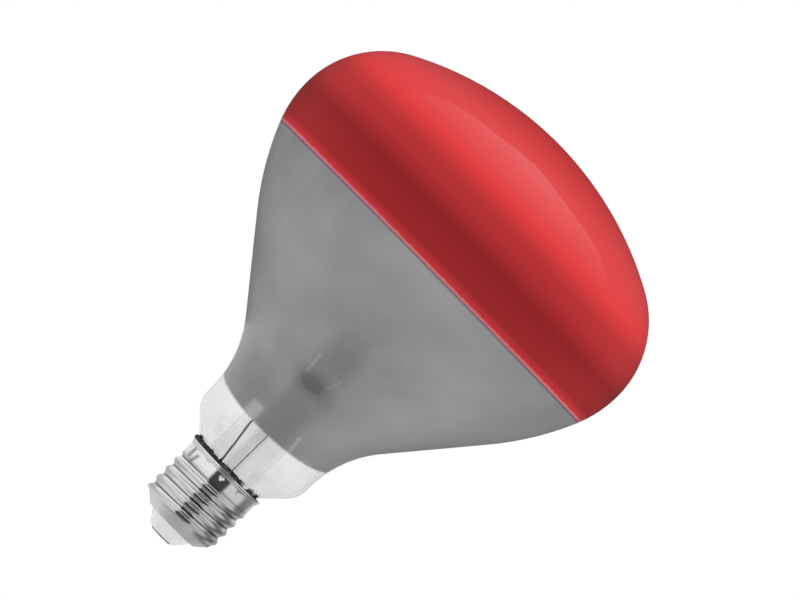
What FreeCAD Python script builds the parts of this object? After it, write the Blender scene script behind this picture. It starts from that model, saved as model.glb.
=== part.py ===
"""Infrared reflector heat lamp with a 27 mm screw cap.

A blown glass bulb, mirrored inside on its cone and lacquered red on its face, is sealed to a glass
stem. The stem carries the leads, a ring filament and the hooks that hold it. A rolled metal cap with
a moulded insulator is cemented over the seal, and the two leads end at its contact and its rim.

Lengths are in millimetres and angles in degrees. +Z runs along the lamp from the end of the centre
contact, which is the origin, to the middle of the red face.
"""
import FreeCAD, Part
import math
import os

Vector = FreeCAD.Vector
UP = Vector(0, 0, 1)

# Bulb glass, outside, from the seal up to the face
seal_depth = 10.9
seal_clearance = 1.125
seal_length = 8.58
seal_fillet = 4.0
neck_cone_angle = 45.0
neck_shoulder_radius = 8.0
neck_diameter = 40.3
neck_length = 1.26
neck_flare_radius = 34.0
cone_angle = 39.4
flank_radius = 90.7
belt_angle = 22.8
belt_radius = 35.7
bulb_diameter = 127.0
face_edge_radius = 30.5
dome_height = 38.9
glass_wall = 0.9

# Glass stem: flare, tube, flattened press, pumping tube, rod and button
stem_flare_radius = 1.4
stem_wall = 1.3
stem_tube_length = 30.5
pinch_length = 8.5
press_height = 9.5
press_thickness = 6.4
bore_end_wall = 1.5
exhaust_diameter = 4.6
exhaust_wall = 0.9
exhaust_tip_rise = 3.0
glass_rod_diameter = 3.2
glass_rod_length = 18.4
button_diameter = 6.0
button_thickness = 4.0
button_round = 1.0

# Wires that pass through the press
lead_spacing = 6.8
inner_lead_diameter = 0.9
press_wire_diameter = 0.5
press_wire_length = 4.0
press_wire_rise = 1.0
outer_lead_diameter = 0.66
thin_lead_diameter = 0.3
wire_seat = 0.03

# Filament ring and its hooks
filament_ring_diameter = 27.0
coil_diameter = 1.3
coil_corner_radius = 1.6
lead_gap_angle = 80.0
hook_count = 5
hook_wire_diameter = 0.45
hook_clearance = 0.25
hook_turn = 250.0
hook_root_radius = 1.3
lead_knee_rise = 2.5
lead_straight_end = 4.0
wire_bend_radius = 2.0

# Turns of the two leads in the stem, where they bow past the pumping tube
bow_gap = 1.62
bow_front = 1.2
bow_rise = 25.5
middle_reach = 4.1
middle_rise = 19.0
waist_reach = 3.2
waist_front = 1.6
waist_rise = 13.0
thin_lead_reach = 1.1
thin_lead_front = 3.0
thin_lead_rise = 29.0

# Screw cap: rolled shell
cap_height = 26.9
cap_wall = 0.3
thread_diameter = 26.05
thread_depth = 0.9
thread_pitch = 3.629
thread_crest_height = 20.7
thread_run_in = 1.2
thread_rise = 2.0
skirt_inset = 0.225
skirt_height = 6.3
skirt_step_length = 1.4
cap_bottom = 4.6
cap_bottom_diameter = 17.8
cap_shoulder_angle = 43.0
cap_shoulder_round = 0.6
cap_lip_width = 1.1
rim_flare = 0.65
rim_flare_height = 0.7
rim_band = 1.4
dimple_count = 12
dimple_drop = 1.9
dimple_radius = 1.2
dimple_depth = 0.45
dimple_turn = 4.0
rows_per_turn = 8
points_around = 16

# Insulator, contact, solder and cement
insulator_lip = 0.6
insulator_end_height = 0.4
insulator_depth = 2.8
insulator_hole_diameter = 2.0
insulator_edge_round = 0.5
contact_diameter = 7.4
contact_thickness = 0.9
contact_edge_round = 0.3
contact_hole_diameter = 2.4
solder_height = 1.5
fit_gap = 0.05
cement_depth = 7.4
cement_overhang = 0.15
cement_rise = 1.3
side_lead_angle = 40.0
side_solder_diameter = 2.8
side_solder_drop = 1.0

# Sizes and heights that follow from these
thread_root_diameter = thread_diameter - 2 * thread_depth
skirt_diameter = thread_diameter - 2 * skirt_inset
rim_diameter = skirt_diameter + 2 * rim_flare
cap_opening_diameter = cap_bottom_diameter - 2 * cap_lip_width
thread_bottom = cap_bottom + thread_rise
skirt_step_height = cap_height - skirt_height
thread_top = skirt_step_height + skirt_step_length
rim_start = cap_height - rim_band
dimple_height = cap_height - dimple_drop
insulator_top = cap_bottom + insulator_depth
insulator_end_diameter = contact_diameter + 2 * (fit_gap + insulator_lip)
exhaust_tip_height = insulator_top + exhaust_tip_rise
cement_bottom = cap_height - cement_depth
cement_bead_height = cap_height + cement_rise
cement_bead_diameter = rim_diameter + 2 * cement_overhang
side_solder_height = cap_height - side_solder_drop
seal_height = cap_height - seal_depth
seal_diameter = thread_root_diameter - 2 * (cap_wall + seal_clearance)
stem_diameter = seal_diameter - 2 * (glass_wall + fit_gap + stem_flare_radius)
bow_reach = stem_diameter / 2 - stem_wall - bow_gap - outer_lead_diameter / 2
pinch_start = seal_height + stem_tube_length
pinch_end = pinch_start + pinch_length
stem_top = pinch_end + press_height
press_wire_low = pinch_end + press_wire_rise
press_wire_high = press_wire_low + press_wire_length
lead_exit_height = (pinch_start + pinch_end) / 2
lead_knee_height = stem_top + lead_knee_rise
hook_line = coil_diameter / 2 + hook_clearance
filament_height = stem_top + glass_rod_length + button_thickness / 2 + hook_line + hook_wire_diameter / 2


def polar(radius, degrees, z=0.0):
    """A point given by its radius and its angle about the lamp's axis."""
    turn = math.radians(degrees)
    return Vector(radius * math.cos(turn), radius * math.sin(turn), z)


def half_plane(r, z):
    """A point of an outline that is spun about the axis."""
    return Vector(r, 0, z)


def on_arc(centre, radius, degrees):
    """A point of a half-plane arc, with its angle from the outward direction."""
    turn = math.radians(degrees)
    return half_plane(centre.x + radius * math.cos(turn), centre.z + radius * math.sin(turn))


def arc(centre, radius, first, last):
    """A half-plane arc between two angles."""
    middle = on_arc(centre, radius, (first + last) / 2)
    return Part.Arc(on_arc(centre, radius, first), middle, on_arc(centre, radius, last)).toShape()


def line(start, end):
    return Part.LineSegment(start, end).toShape()


def chain(*points):
    """Straight edges through the points."""
    return [line(a, b) for a, b in zip(points, points[1:])]


def spun(edges):
    """The solid that a closed half-plane outline makes about the axis."""
    face = Part.Face(Part.Wire(Part.__sortEdges__(edges)))
    return face.revolve(Vector(0, 0, 0), UP, 360)


def step_out(radius, first, last):
    """How far an arc moves outwards between two angles."""
    return radius * (math.cos(math.radians(first)) - math.cos(math.radians(last)))


def up_slope(start, r, degrees):
    """The point at radius r up a straight slope from start, leaning from upright by degrees."""
    return half_plane(r, start.z + (r - start.x) / math.tan(math.radians(degrees)))


def bulb_outline(inset):
    """The bulb's outline from the middle of the face to the seal, moved inwards by inset.

    Its points are found from the seal upwards. Every arc keeps its centre and changes its radius,
    so the wall is even and stays smooth.
    """
    seal = seal_diameter / 2
    seal_centre = half_plane(seal + seal_fillet, seal_height + seal_length)
    seal_end = on_arc(seal_centre, seal_fillet, 180 - neck_cone_angle)

    neck = neck_diameter / 2
    shoulder_r = neck - step_out(neck_shoulder_radius, 0, neck_cone_angle)
    shoulder_end = up_slope(seal_end, shoulder_r, neck_cone_angle)
    shoulder_centre = on_arc(shoulder_end, neck_shoulder_radius, 180 - neck_cone_angle)

    flare_centre = half_plane(neck + neck_flare_radius, shoulder_centre.z + neck_length)
    flare_end = on_arc(flare_centre, neck_flare_radius, 180 - cone_angle)

    widest = bulb_diameter / 2
    flank_r = widest - step_out(belt_radius, 0, belt_angle) - step_out(flank_radius, belt_angle, cone_angle)
    flank_end = up_slope(flare_end, flank_r, cone_angle)
    flank_centre = on_arc(flank_end, flank_radius, 180 - cone_angle)
    belt_end = on_arc(flank_centre, flank_radius, -belt_angle)
    belt_centre = on_arc(belt_end, belt_radius, 180 - belt_angle)

    edge_centre = half_plane(widest - face_edge_radius, belt_centre.z)
    flatness = 2 * (dome_height - face_edge_radius)
    face_radius = (dome_height**2 + edge_centre.x**2 - face_edge_radius**2) / flatness
    face_centre = half_plane(0, edge_centre.z + dome_height - face_radius)
    edge_start = math.degrees(math.atan2(edge_centre.z - face_centre.z, edge_centre.x))

    outside = neck_flare_radius + inset
    fillet = seal_fillet + inset
    return [
        arc(face_centre, face_radius - inset, 90, edge_start),
        arc(edge_centre, face_edge_radius - inset, edge_start, 0),
        arc(belt_centre, belt_radius - inset, 0, -belt_angle),
        arc(flank_centre, flank_radius - inset, -belt_angle, -cone_angle),
        line(on_arc(flank_centre, flank_radius - inset, -cone_angle),
             on_arc(flare_centre, outside, 180 - cone_angle)),
        arc(flare_centre, outside, 180 - cone_angle, 180),
        line(on_arc(flare_centre, outside, 180), on_arc(shoulder_centre, neck_shoulder_radius - inset, 0)),
        arc(shoulder_centre, neck_shoulder_radius - inset, 0, -neck_cone_angle),
        line(on_arc(shoulder_centre, neck_shoulder_radius - inset, -neck_cone_angle),
             on_arc(seal_centre, fillet, 180 - neck_cone_angle)),
        arc(seal_centre, fillet, 180 - neck_cone_angle, 180),
        line(on_arc(seal_centre, fillet, 180), half_plane(seal - inset, seal_height)),
    ]


def ends(edges):
    """The first and the last point of an outline."""
    return edges[0].Vertexes[0].Point, edges[-1].Vertexes[-1].Point


def envelope():
    """The blown bulb: one wall of glass, open below at its seal."""
    outer = bulb_outline(0)
    inner = bulb_outline(glass_wall)
    joins = [line(a, b) for a, b in zip(ends(outer), ends(inner))]
    return spun(outer + inner + joins)


def glass_body(inset):
    """The bulb as if it were solid, for cutting what fits round it."""
    side = bulb_outline(inset)
    top, foot = ends(side)
    return spun(side + chain(foot, half_plane(0, foot.z), top))


def pinched(radius, flat, low, pinch_low, pinch_high, high):
    """A round bar pressed flat between pinch_low and pinch_high, as tongs do to hot glass."""
    middle = (pinch_low + pinch_high) / 2
    sides = []
    for side in (1, -1):
        squeeze = Part.BezierCurve()
        squeeze.setPoles([
            Vector(0, side * radius, pinch_low),
            Vector(0, side * radius, middle),
            Vector(0, side * flat, middle),
            Vector(0, side * flat, pinch_high),
        ])
        sides.append(line(Vector(0, side * radius, low), Vector(0, side * radius, pinch_low)))
        sides.append(squeeze.toShape())
        if high > pinch_high:
            sides.append(line(Vector(0, side * flat, pinch_high), Vector(0, side * flat, high)))
    sides.append(line(Vector(0, radius, low), Vector(0, -radius, low)))
    sides.append(line(Vector(0, flat, high), Vector(0, -flat, high)))
    outline = Part.Face(Part.Wire(Part.__sortEdges__(sides)))
    outline.translate(Vector(-radius, 0, 0))
    slab = outline.extrude(Vector(2 * radius, 0, 0))
    bar = Part.makeCylinder(radius, high - low, Vector(0, 0, low))
    return bar.common(slab)


def bore_end():
    """Height at which the stem's bore stops, under the solid press."""
    return pinch_end - bore_end_wall


def stem_tube(wires):
    """Flared foot, tube and press, with a seat for each wire that the press grips."""
    tube = stem_diameter / 2
    bore = tube - stem_wall
    rim = seal_diameter / 2
    turn_height = seal_height + stem_flare_radius
    centre = half_plane(tube + stem_flare_radius, turn_height)
    under = stem_flare_radius + stem_wall
    foot = spun([
        line(half_plane(bore, turn_height), half_plane(tube, turn_height)),
        arc(centre, stem_flare_radius, 180, 270),
        *chain(on_arc(centre, stem_flare_radius, 270), half_plane(rim, seal_height),
               half_plane(rim, seal_height - stem_wall), on_arc(centre, under, 270)),
        arc(centre, under, 270, 180),
    ])
    body = pinched(tube, press_thickness / 2, turn_height, pinch_start, pinch_end, stem_top)
    hollow = pinched(bore, exhaust_diameter / 2 + fit_gap, turn_height, pinch_start, bore_end(), bore_end())
    return body.cut(hollow).fuse(foot).removeSplitter().cut(wires)


def exhaust_tube():
    """Pumping tube from the press down to its melted tip inside the cap."""
    outer = exhaust_diameter / 2
    inner = outer - exhaust_wall
    tip = half_plane(0, exhaust_tip_height + outer)
    return spun([
        *chain(half_plane(inner, tip.z), half_plane(inner, bore_end()), half_plane(outer, bore_end()),
               half_plane(outer, tip.z)),
        arc(tip, outer, 0, -90),
        line(half_plane(0, exhaust_tip_height), half_plane(0, tip.z - inner)),
        arc(tip, inner, -90, 0),
    ])


def hook_radius(wire_diameter):
    """Radius of a hook's centre line round the coil."""
    return hook_line + wire_diameter / 2


def glass_rod(wires):
    """Rod on the press with a button on top, where the hooks are stuck in."""
    rod = glass_rod_diameter / 2
    button = button_diameter / 2
    low = filament_height - hook_radius(hook_wire_diameter) - button_thickness / 2
    high = low + button_thickness
    core = button - button_round
    body = spun([
        *chain(half_plane(0, high), half_plane(0, stem_top), half_plane(rod, stem_top), half_plane(rod, low),
               half_plane(core, low)),
        arc(half_plane(core, low + button_round), button_round, -90, 0),
        line(half_plane(button, low + button_round), half_plane(button, high - button_round)),
        arc(half_plane(core, high - button_round), button_round, 0, 90),
        line(half_plane(core, high), half_plane(0, high)),
    ])
    return body.cut(wires)


def bent_path(corners, bend):
    """Edges of straight runs joined by tangent arcs of one bend radius."""
    edges = []
    start = corners[0]
    for before, corner, after in zip(corners, corners[1:], corners[2:]):
        back = (before - corner).normalize()
        ahead = (after - corner).normalize()
        half = back.getAngle(ahead) / 2
        setback = bend / math.tan(half)
        inward = (back + ahead).normalize()
        middle = corner + inward * (bend / math.sin(half) - bend)
        first = corner + back * setback
        last = corner + ahead * setback
        edges.append(line(start, first))
        edges.append(Part.Arc(first, middle, last).toShape())
        start = last
    edges.append(line(start, corners[-1]))
    return edges


def wire(edges, diameter):
    """Round wire along a path."""
    path = Part.Wire(edges)
    first = path.OrderedEdges[0]
    start = first.valueAt(first.FirstParameter)
    along = first.tangentAt(first.FirstParameter)
    section = Part.Wire(Part.Circle(start, along, diameter / 2).toShape())
    return path.makePipeShell([section], True, False)


def upright_arc(centre, spoke, radius, first, last):
    """An arc in the upright plane through the axis at the spoke's angle."""
    def point(degrees):
        turn = math.radians(degrees)
        return centre + polar(1, spoke) * (radius * math.cos(turn)) + UP * (radius * math.sin(turn))
    return Part.Arc(point(first), point((first + last) / 2), point(last)).toShape()


def ring_angles():
    """Angles of the filament's corners: the two lead ends, with the hooks between them."""
    first = -90 + lead_gap_angle / 2
    step = (360 - lead_gap_angle) / (hook_count + 1)
    return [first + step * i for i in range(hook_count + 2)]


def filament():
    """The coiled wire as the round rope that it forms, straight between its hooks."""
    ring = filament_ring_diameter / 2
    corners = [polar(ring, angle, filament_height) for angle in ring_angles()]
    over = hook_radius(inner_lead_diameter)
    corners[0] += (corners[0] - corners[1]).normalize() * over
    corners[-1] += (corners[-1] - corners[-2]).normalize() * over
    return wire(bent_path(corners, coil_corner_radius), coil_diameter)


def hook(spoke):
    """Support from the button out to a loop that goes round the coil."""
    loop = hook_radius(hook_wire_diameter)
    centre = polar(filament_ring_diameter / 2, spoke, filament_height)
    start = polar(hook_root_radius, spoke, filament_height - loop)
    turn = centre - UP * loop
    return wire([line(start, turn), upright_arc(centre, spoke, loop, -90, hook_turn - 90)],
                hook_wire_diameter)


def inner_lead(side, spoke):
    """Stout wire from the press to a crook over the filament's end."""
    crook = hook_radius(inner_lead_diameter)
    end = polar(filament_ring_diameter / 2 - crook, spoke, filament_height)
    centre = polar(filament_ring_diameter / 2, spoke, filament_height)
    foot = Vector(side * lead_spacing / 2, 0, press_wire_high)
    knee = Vector(foot.x, 0, lead_knee_height)
    edges = bent_path([foot, knee, end - UP * lead_straight_end, end], wire_bend_radius)
    return wire(edges + [upright_arc(centre, spoke, crook, 180, 0)], inner_lead_diameter)


def press_wire(side):
    """Short wire that seals in the glass of the press."""
    foot = Vector(side * lead_spacing / 2, 0, press_wire_low)
    return Part.makeCylinder(press_wire_diameter / 2, press_wire_high - press_wire_low, foot)


def centre_lead():
    """Thick lead, bowed outwards in the stem, down to the solder of the centre contact."""
    foot = Vector(-lead_spacing / 2, 0, press_wire_low)
    corners = [
        foot,
        Vector(foot.x, 0, lead_exit_height),
        Vector(-bow_reach, -bow_front, seal_height + bow_rise),
        Vector(-middle_reach, -waist_front, seal_height + middle_rise),
        Vector(-waist_reach, -waist_front, seal_height + waist_rise),
        Vector(-waist_reach, -waist_front, exhaust_tip_height),
        Vector(0, 0, insulator_top + outer_lead_diameter),
        Vector(0, 0, solder_height),
    ]
    return wire(bent_path(corners, wire_bend_radius), outer_lead_diameter)


def side_lead(diameter):
    """Thin lead in front of the pumping tube, round the seal and over the rim to its solder."""
    foot = Vector(lead_spacing / 2, 0, press_wire_low)
    under = seal_height - 2 * stem_wall
    gap = (seal_diameter + thread_root_diameter) / 4 - cap_wall / 2
    inside = skirt_diameter / 2 - cap_wall - thin_lead_diameter
    over = cap_height + 2 * thin_lead_diameter
    out = side_solder_radius()
    corners = [
        foot,
        Vector(foot.x, 0, lead_exit_height),
        Vector(thin_lead_reach, -thin_lead_front, seal_height + thin_lead_rise),
        Vector(thin_lead_reach, -thin_lead_front, under),
        polar(gap, side_lead_angle, under),
        polar(gap, side_lead_angle, skirt_step_height),
        polar(inside, side_lead_angle, skirt_step_height + skirt_step_length),
        polar(inside, side_lead_angle, over),
        polar(out, side_lead_angle, over),
        polar(out, side_lead_angle, side_solder_height),
    ]
    return wire(bent_path(corners, thin_lead_diameter), diameter)


def side_solder_radius():
    """Distance of the side lead's end from the axis, just outside the rim."""
    return rim_diameter / 2 + thin_lead_diameter


def eased(x):
    """A smooth step from 0 to 1."""
    x = min(max(x, 0.0), 1.0)
    return x * x * (3 - 2 * x)


def softer_least(a, b, blend):
    """The lesser of two lengths, rounded where they cross."""
    near = max(blend - abs(a - b), 0.0)
    return min(a, b) - near**2 / (4 * blend)


def shell_radius(degrees, z):
    """Outside radius of the rolled shell: shoulder, thread and skirt in one formula."""
    root = thread_root_diameter / 2
    shoulder = cap_bottom_diameter / 2 + (z - cap_bottom) / math.tan(math.radians(cap_shoulder_angle))
    plain = softer_least(root, shoulder, cap_shoulder_round)
    plain += (skirt_diameter / 2 - root) * eased((z - skirt_step_height) / skirt_step_length)
    fade = eased((z - thread_bottom) / thread_run_in) * eased((thread_top - z) / thread_run_in)
    phase = 2 * math.pi * (z - thread_crest_height) / thread_pitch - math.radians(degrees)
    return plain + (thread_diameter / 2 - root) * fade * (0.5 + 0.5 * math.cos(phase))


def rolled(low, high, inset):
    """The space inside the rolled shell's surface, moved inwards by inset, between two heights."""
    rows = math.ceil((high - low) * rows_per_turn / thread_pitch)
    net = []
    for row in range(rows + 1):
        z = low + (high - low) * row / rows
        ring = [90 + 360 * i / points_around for i in range(points_around)]
        points = [polar(shell_radius(angle, z) - inset, angle, z) for angle in ring]
        net.append(points + points[:1])
    surface = Part.BSplineSurface()
    surface.interpolate(net)
    side = surface.toShape()
    lids = [Part.Face(Part.Wire(edge)) for edge in side.Edges if edge.BoundBox.ZLength < cap_wall]
    skin = Part.Compound([side] + lids)
    skin.sewShape()
    body = Part.Solid(skin.Shells[0])
    if body.Volume < 0:
        body.reverse()
    return body


def rim_cone(inset, top):
    """The flare of the rim, as a solid, moved inwards by inset."""
    skirt = skirt_diameter / 2 - inset
    rim = rim_diameter / 2 - inset
    inside = skirt - 2 * cap_wall
    return spun(chain(half_plane(0, rim_start), half_plane(inside, rim_start),
                      half_plane(rim, rim_start + rim_flare_height + 2 * cap_wall),
                      half_plane(rim, top), half_plane(0, top), half_plane(0, rim_start)))


def dimple_angles():
    return [dimple_turn - 90 + 360 / dimple_count * i for i in range(dimple_count)]


def dimples(radius):
    """Balls that press the row of stake marks into the skirt."""
    away = skirt_diameter / 2 + dimple_radius - dimple_depth
    return [Part.makeSphere(radius, polar(away, angle, dimple_height)) for angle in dimple_angles()]


def cap_solid():
    """The cap's outside as a solid body."""
    body = rolled(cap_bottom, rim_start + rim_flare_height, 0).fuse(rim_cone(0, cap_height))
    return body.cut(dimples(dimple_radius))


def cap_hollow(inset):
    """The space inside the cap, moved inwards from its outside by inset."""
    body = rolled(cap_bottom + cap_wall, rim_start + rim_flare_height, inset)
    return body.fuse(rim_cone(inset, cap_height + cap_wall)).cut(dimples(dimple_radius + inset))


def cap_shell():
    """Rolled sheet: the same thread, skirt, rim and dimples inside and outside, open at both ends."""
    opening = Part.makeCylinder(cap_opening_diameter / 2, 2 * cap_wall, Vector(0, 0, cap_bottom - cap_wall / 2))
    return cap_solid().cut(cap_hollow(cap_wall)).cut(opening)


def insulator():
    """Moulded cone that closes the shell, gripping the edge of its opening from both sides."""
    slope = 1 / math.tan(math.radians(cap_shoulder_angle))
    inside = cap_bottom_diameter / 2 - cap_wall * slope - fit_gap
    lip = cap_bottom + cap_wall + fit_gap / 2
    neck = cap_opening_diameter / 2 - fit_gap
    top = inside + (insulator_top - lip) * slope
    hole = insulator_hole_diameter / 2
    seat = contact_diameter / 2 + fit_gap
    end = insulator_end_diameter / 2
    body = spun(chain(
        half_plane(hole, insulator_top), half_plane(top, insulator_top), half_plane(inside, lip),
        half_plane(neck, lip), half_plane(neck, cap_bottom), half_plane(end, insulator_end_height),
        half_plane(seat, insulator_end_height), half_plane(seat, contact_thickness),
        half_plane(hole, contact_thickness), half_plane(hole, insulator_top)))
    edge = [e for e in body.Edges if abs(e.BoundBox.ZMax - insulator_end_height) < fit_gap
            and abs(e.BoundBox.XMax - end) < fit_gap]
    return body.makeFillet(insulator_edge_round, edge)


def contact():
    """Round contact plate with a hole for the centre lead."""
    plate = contact_diameter / 2
    hole = contact_hole_diameter / 2
    core = plate - contact_edge_round
    return spun([
        *chain(half_plane(hole, 0), half_plane(hole, contact_thickness), half_plane(plate, contact_thickness),
               half_plane(plate, contact_edge_round)),
        arc(half_plane(core, contact_edge_round), contact_edge_round, 0, -90),
        line(half_plane(core, 0), half_plane(hole, 0)),
    ])


def centre_solder():
    """Solder that fills the contact's hole and reaches up round the lead's end."""
    plug = contact_hole_diameter / 2
    stalk = insulator_hole_diameter / 2 - fit_gap
    return spun(chain(half_plane(0, 0), half_plane(plug, 0), half_plane(plug, contact_thickness),
                      half_plane(stalk, contact_thickness), half_plane(stalk, solder_height),
                      half_plane(0, solder_height), half_plane(0, 0)))


def cement():
    """Capping cement between the seal and the shell, with a bead that stands above the rim."""
    low = cap_height + fit_gap
    packing = Part.makeCylinder(cement_bead_diameter / 2, low - cement_bottom, Vector(0, 0, cement_bottom))
    bead_round = (cement_bead_height - low) / 2
    edge = half_plane(cement_bead_diameter / 2 - bead_round, low + bead_round)
    bead = spun([
        *chain(half_plane(0, low), half_plane(edge.x, low)),
        arc(edge, bead_round, -90, 90),
        *chain(half_plane(edge.x, cement_bead_height), half_plane(0, cement_bead_height), half_plane(0, low)),
    ])
    filled = packing.common(cap_hollow(cap_wall + fit_gap)).fuse(bead).removeSplitter()
    return filled.cut(glass_body(-fit_gap)).cut(side_lead(thin_lead_diameter + 2 * wire_seat))


def side_solder(filling):
    """Blob on the outside of the rim, over the thin lead's end and against the cement."""
    centre = polar(side_solder_radius() - thin_lead_diameter, side_lead_angle, side_solder_height)
    blob = Part.makeSphere(side_solder_diameter / 2, centre)
    return blob.cut(cap_solid()).cut(filling).cut(side_lead(thin_lead_diameter + 2 * wire_seat))


def build():
    """Every piece of the lamp by its name."""
    angles = ring_angles()
    pieces = {
        "envelope": envelope(),
        "exhaust_tube": exhaust_tube(),
        "filament": filament(),
        "inner_lead_right": inner_lead(1, angles[0]),
        "inner_lead_left": inner_lead(-1, angles[-1]),
        "press_wire_right": press_wire(1),
        "press_wire_left": press_wire(-1),
        "centre_lead": centre_lead(),
        "side_lead": side_lead(thin_lead_diameter),
        "cap_shell": cap_shell(),
        "cap_insulator": insulator(),
        "centre_contact": contact(),
        "centre_solder": centre_solder(),
        "capping_cement": cement(),
    }
    pieces["side_solder"] = side_solder(pieces["capping_cement"])
    hooks = {f"filament_hook_{i}": hook(angle) for i, angle in enumerate(angles[1:-1], 1)}
    pieces.update(hooks)

    seat = 2 * wire_seat
    gripped = []
    for side in (1, -1):
        foot = Vector(side * lead_spacing / 2, 0, press_wire_high)
        gripped.append(Part.makeCylinder(inner_lead_diameter / 2 + wire_seat, stem_top - press_wire_high, foot))
        gripped.append(Part.makeCylinder(press_wire_diameter / 2 + wire_seat,
                                         press_wire_high - press_wire_low,
                                         Vector(foot.x, 0, press_wire_low)))
    for diameter, x in ((outer_lead_diameter, -lead_spacing / 2), (thin_lead_diameter, lead_spacing / 2)):
        gripped.append(Part.makeCylinder((diameter + seat) / 2, press_wire_low - bore_end(),
                                         Vector(x, 0, bore_end())))
    pieces["stem_tube"] = stem_tube(gripped)
    loop = hook_radius(hook_wire_diameter)
    roots = [Part.makeCylinder(hook_wire_diameter / 2 + wire_seat, button_diameter,
                               polar(hook_root_radius, angle, filament_height - loop), polar(1, angle))
             for angle in angles[1:-1]]
    pieces["glass_rod"] = glass_rod(roots)
    return pieces


os.makedirs("parts", exist_ok=True)
for name, shape in build().items():
    print(name, shape.ShapeType, "solids", len(shape.Solids), "valid", shape.isValid(),
          "volume", round(shape.Volume, 2))
    shape.exportStep(f"parts/{name}.step")
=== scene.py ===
# %% [markdown]
# Infrared heat lamp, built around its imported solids.
# The lamp is a blown glass bulb with a red lacquered face, a mirrored cone, a clear neck and a rolled
# metal screw cap. The solids hold its sizes; this lesson gives each visible piece its finished mesh and
# its finish. All outlines are drawn in millimetres and scaled to metres when a mesh is made.

import math

import bmesh
import bpy
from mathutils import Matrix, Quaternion, Vector, noise


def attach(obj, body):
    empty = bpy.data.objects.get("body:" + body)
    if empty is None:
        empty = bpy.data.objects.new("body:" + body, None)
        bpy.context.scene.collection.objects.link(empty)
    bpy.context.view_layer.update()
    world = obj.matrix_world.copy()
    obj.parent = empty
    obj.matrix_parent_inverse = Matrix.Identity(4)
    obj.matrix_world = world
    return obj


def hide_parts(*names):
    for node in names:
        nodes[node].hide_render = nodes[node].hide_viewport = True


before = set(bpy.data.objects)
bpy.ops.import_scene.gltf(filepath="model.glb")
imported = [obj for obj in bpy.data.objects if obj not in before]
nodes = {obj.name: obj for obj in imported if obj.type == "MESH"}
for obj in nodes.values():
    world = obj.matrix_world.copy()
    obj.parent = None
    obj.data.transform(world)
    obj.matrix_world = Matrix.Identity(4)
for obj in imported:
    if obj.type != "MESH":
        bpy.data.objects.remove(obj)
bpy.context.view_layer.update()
MM = 0.001

# %% [markdown]
# The camera comes first. The lamp stands upright in its own frame, with its contact at the origin, and
# the photograph shows it leaning to the right, so the camera looks straight at its side from nearly two
# metres away and is rolled about its own line of sight.

# %% Camera
eye = Vector((-0.06, -1860.0, 92.0)) * MM
aim = Vector((-0.06, 0.0, 96.6)) * MM
camera_roll = math.radians(45.51)

camera = bpy.data.objects.new("camera", bpy.data.cameras.new("camera"))
camera.data.sensor_width = 36.0
camera.data.lens = 291.3
camera.location = eye
camera.rotation_mode = "QUATERNION"
camera.rotation_quaternion = (aim - eye).to_track_quat("-Z", "Y") @ Quaternion((0, 0, 1), camera_roll)
bpy.context.scene.collection.objects.link(camera)
bpy.context.scene.camera = camera
bpy.context.scene.view_settings.view_transform = "Standard"

# %% [markdown]
# Shader maths reads best as ordinary Python. A Socket wraps one output of a node, and its signs add Math
# nodes. A Graph owns a node tree and has one method for every other node.

# %% Shader helpers
class Socket:
    """One output of a node. Python's signs add Math nodes to it."""

    def __init__(self, graph, out):
        self.graph = graph
        self.out = out

    def math(self, operation, *terms):
        return self.graph.node("ShaderNodeMath", {"operation": operation}, dict(enumerate(terms)))

    def __add__(self, other):
        return self.math("ADD", self, other)

    def __sub__(self, other):
        return self.math("SUBTRACT", self, other)

    def __rsub__(self, other):
        return self.math("SUBTRACT", other, self)

    def __mul__(self, other):
        return self.math("MULTIPLY", self, other)

    def __truediv__(self, other):
        return self.math("DIVIDE", self, other)

    __radd__ = __add__
    __rmul__ = __mul__

    def abs(self):
        return self.math("ABSOLUTE", self)

    def most(self, other):
        return self.math("MAXIMUM", self, other)

    def root(self):
        return self.math("SQRT", self)

    def cosine(self):
        return self.math("COSINE", self)

    def turn_from(self, other):
        """The angle in radians, from other towards self."""
        return self.math("ARCTAN2", self, other)

    def ramp(self, low, high, first=0.0, last=1.0):
        """A smooth change from first to last as the value goes from low to high."""
        places = {0: self, 1: low, 2: high, 3: first, 4: last}
        return self.graph.node("ShaderNodeMapRange", {"interpolation_type": "SMOOTHSTEP"}, places)


BLACK = (0.0, 0.0, 0.0)
WHITE = (1.0, 1.0, 1.0)


def rgba(value):
    """A colour of three numbers gets its alpha, and anything else stays as it is."""
    return (*value, 1.0) if isinstance(value, tuple) and len(value) == 3 else value


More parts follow.
